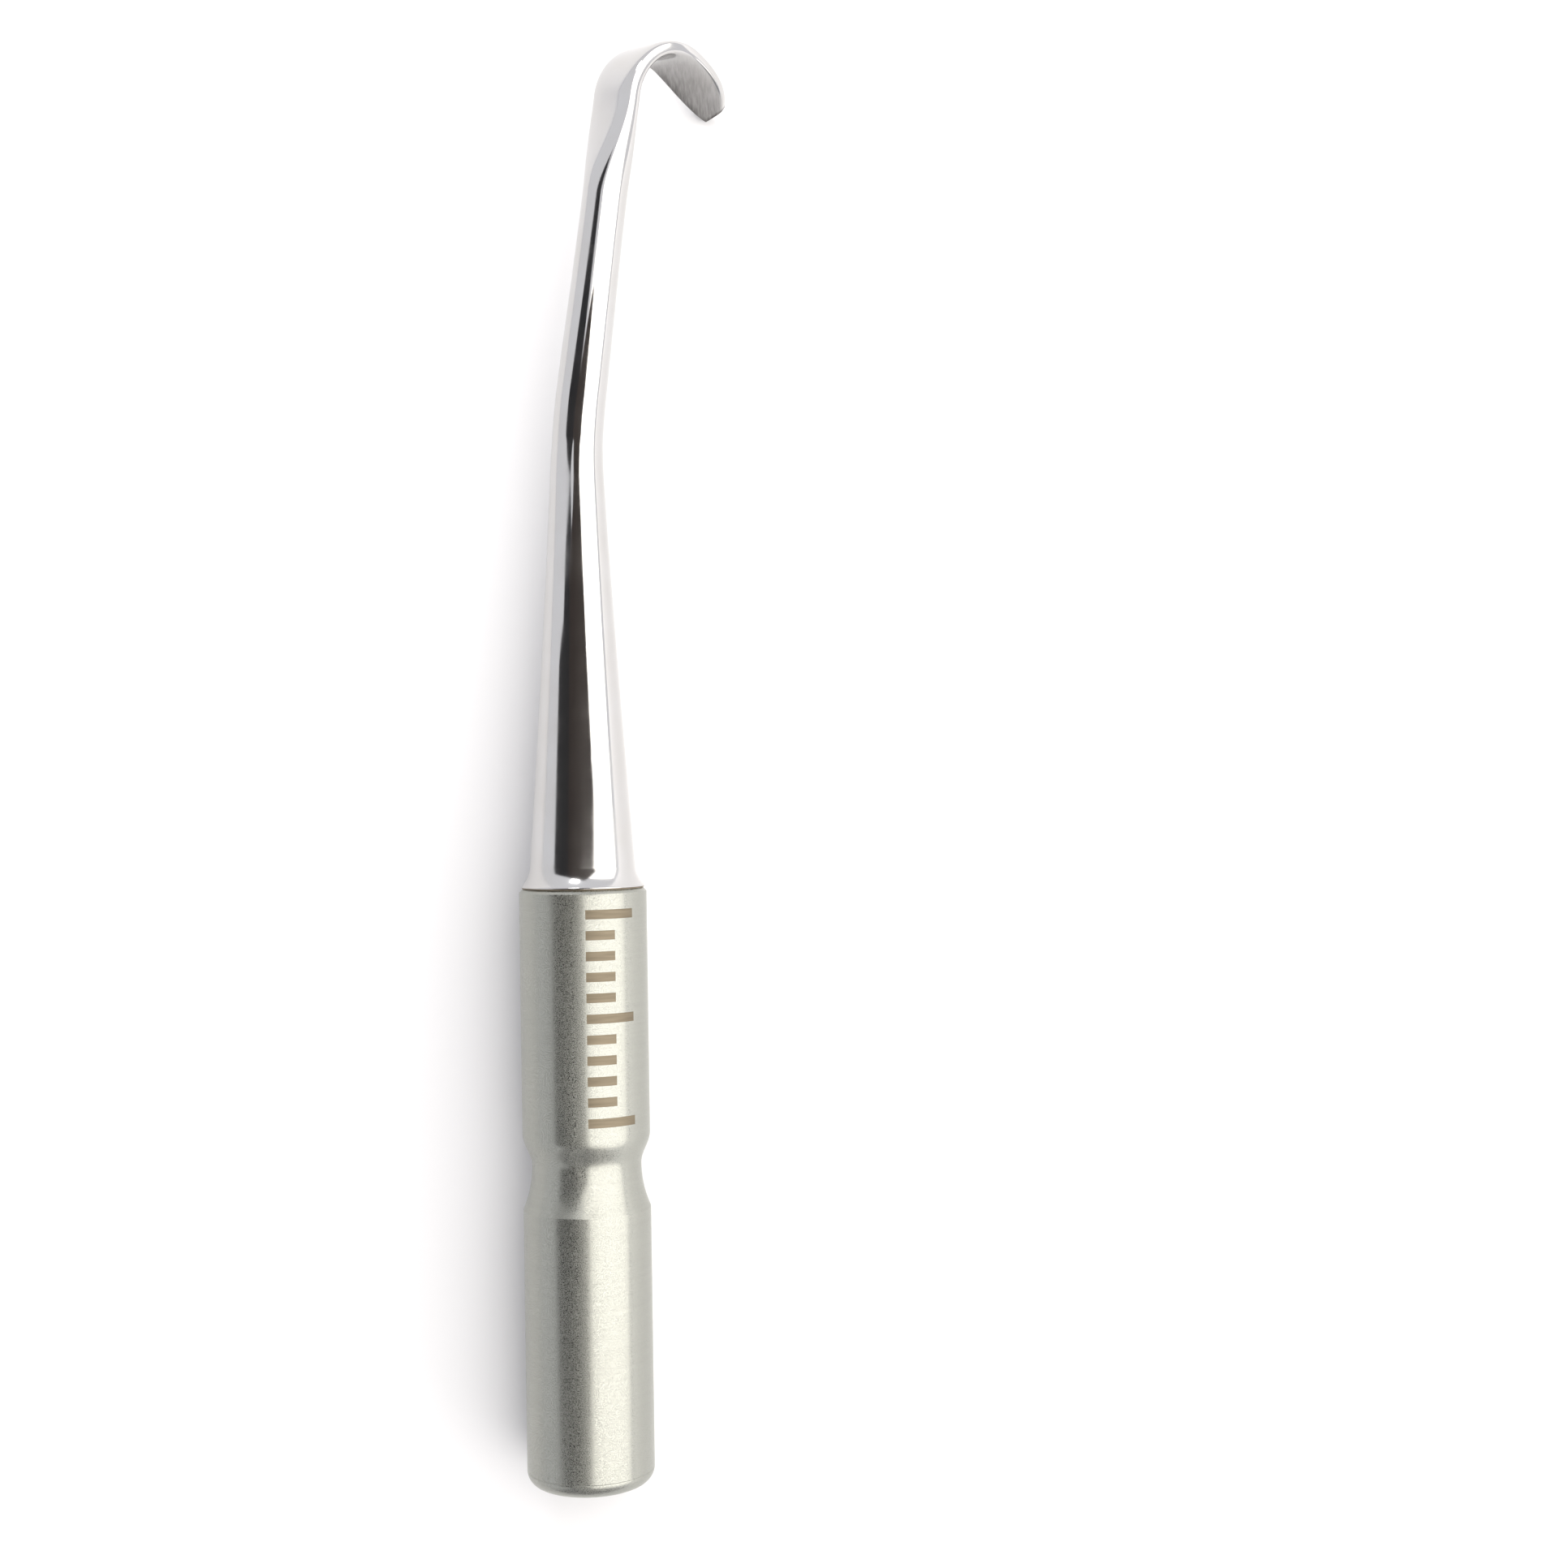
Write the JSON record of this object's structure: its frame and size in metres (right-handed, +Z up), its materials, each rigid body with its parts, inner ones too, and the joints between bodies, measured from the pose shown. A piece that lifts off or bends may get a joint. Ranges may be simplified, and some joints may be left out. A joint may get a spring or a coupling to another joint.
{
  "type": "dental elevator",
  "caption": "Single-ended dental elevator with a bent tapered shank, a hooked flat blade and a turned handle with a waist groove. The hollow inside of the handle is assumed.",
  "frame": {"origin": "centre of the flat butt of the handle, on the handle's axis", "axes": "+Y along the handle's axis from the butt towards the blade, +Z up as the instrument lies on a table, +X to the side that the hook points to"},
  "size_m": [0.0213, 0.1408, 0.0128],
  "materials": {
    "polished_steel": "polished stainless steel",
    "satin_steel": "fine satin, turned round the handle",
    "braze_filler": "dull dark filler line",
    "plain_steel": "as machined"
  },
  "bodies": {
    "root": {"working_end": "polished_steel", "handle_barrel": "satin_steel", "braze_ring": "braze_filler", "front_bush": "plain_steel", "rear_bush": "plain_steel", "lock_pin": "plain_steel", "butt_plug": "satin_steel"}
  },
  "joints": []
}
